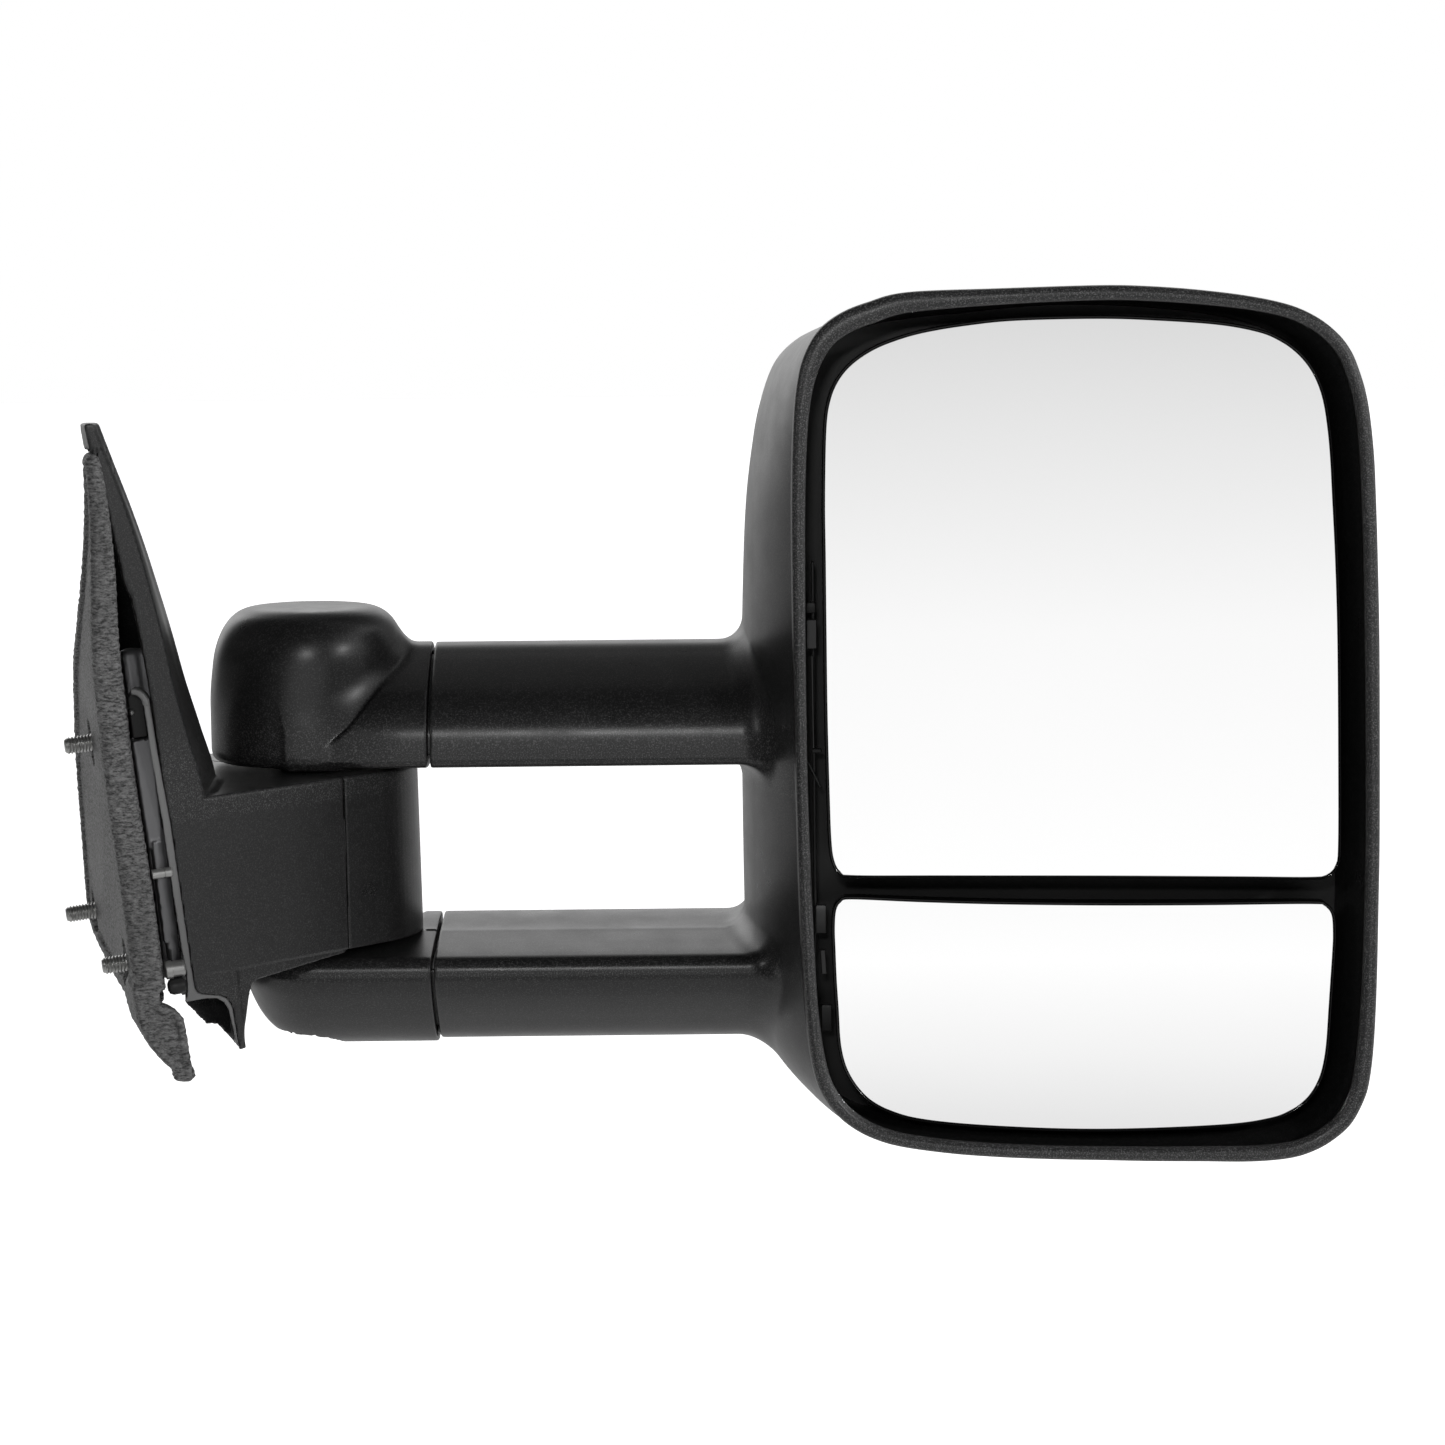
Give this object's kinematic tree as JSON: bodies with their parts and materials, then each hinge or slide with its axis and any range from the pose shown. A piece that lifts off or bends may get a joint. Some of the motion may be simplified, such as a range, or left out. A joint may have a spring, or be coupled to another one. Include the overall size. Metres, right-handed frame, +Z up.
{
  "type": "towing mirror",
  "caption": "right-hand door towing mirror: a tall head with a flat glass above a convex glass slides outboard on twin arms that fold about an upright pivot on a sail-shaped base",
  "frame": {"origin": "on the flat door face of the gasket, in the middle of the stud pattern, with the mirror unfolded and retracted", "axes": "+X outboard along the arms, +Y towards the front of the vehicle (the glass faces -Y), +Z up; the door face is turned 15 degrees from the YZ plane about Z and leans 6 degrees"},
  "size_m": [0.5248, 0.2158, 0.3436],
  "materials": {
    "textured_plastic": "fine grained black moulding",
    "smooth_plastic": "satin black moulding",
    "foam": "wrinkled closed-cell foam skin",
    "cast_metal": "as-cast, dull",
    "steel": "zinc plated",
    "aluminium": "drawn tube",
    "nylon": "black bearing plastic",
    "mirror_glass": "back-silvered, polished"
  },
  "bodies": {
    "base": {"base_bracket": "cast_metal", "base_cover": "textured_plastic", "pivot_end_cover": "textured_plastic", "door_gasket": "foam", "mounting_stud_top": "steel", "mounting_stud_front": "steel", "mounting_stud_rear": "steel", "pivot_post": "steel", "detent_cam": "steel", "fold_spring": "steel", "spring_washer": "steel", "pivot_nut": "steel"},
    "arms": {"upper_pivot_arm": "textured_plastic", "lower_pivot_arm": "textured_plastic", "upper_tube": "aluminium", "lower_tube": "aluminium", "upper_tube_clamp": "cast_metal", "lower_tube_clamp": "cast_metal", "upper_tube_pin": "steel", "lower_tube_pin": "steel", "upper_tube_stop": "nylon", "lower_tube_stop": "nylon", "upper_pivot_bush": "nylon", "lower_pivot_bush": "nylon", "detent_plate": "steel"},
    "head": {"housing_shell": "textured_plastic", "front_cover": "textured_plastic", "carrier_plate": "smooth_plastic", "upper_sleeve_bush": "nylon", "upper_inner_bush": "nylon", "lower_sleeve_bush": "nylon", "lower_inner_bush": "nylon", "upper_ball_socket": "smooth_plastic", "lower_ball_socket": "smooth_plastic"},
    "upper_swivel": {"upper_swivel_ball": "nylon"},
    "upper_mirror": {"upper_glass": "mirror_glass", "upper_glass_holder": "smooth_plastic"},
    "lower_swivel": {"lower_swivel_ball": "nylon"},
    "lower_mirror": {"lower_glass": "mirror_glass", "lower_glass_holder": "smooth_plastic"}
  },
  "joints": [
    {"name": "fold", "type": "hinge", "parent": "base", "child": "arms", "pos_m": [0.07418, 0.06369, 0.03713], "axis": [0, 0, 1], "range_deg": [-65, 60]},
    {"name": "extend", "type": "slide", "parent": "arms", "child": "head", "axis": [1, 0, 0], "range_m": [0, 0.1]},
    {"name": "upper_pan", "type": "hinge", "parent": "head", "child": "upper_swivel", "pos_m": [0.38388, 0.02769, 0.09213], "axis": [0, 0, 1], "range_deg": [-7, 7]},
    {"name": "upper_tilt", "type": "hinge", "parent": "upper_swivel", "child": "upper_mirror", "pos_m": [0.38388, 0.02769, 0.09213], "axis": [1, 0, 0], "range_deg": [-7, 7]},
    {"name": "lower_pan", "type": "hinge", "parent": "head", "child": "lower_swivel", "pos_m": [0.38418, 0.02769, -0.07117], "axis": [0, 0, 1], "range_deg": [-7, 7]},
    {"name": "lower_tilt", "type": "hinge", "parent": "lower_swivel", "child": "lower_mirror", "pos_m": [0.38418, 0.02769, -0.07117], "axis": [1, 0, 0], "range_deg": [-7, 7]}
  ]
}
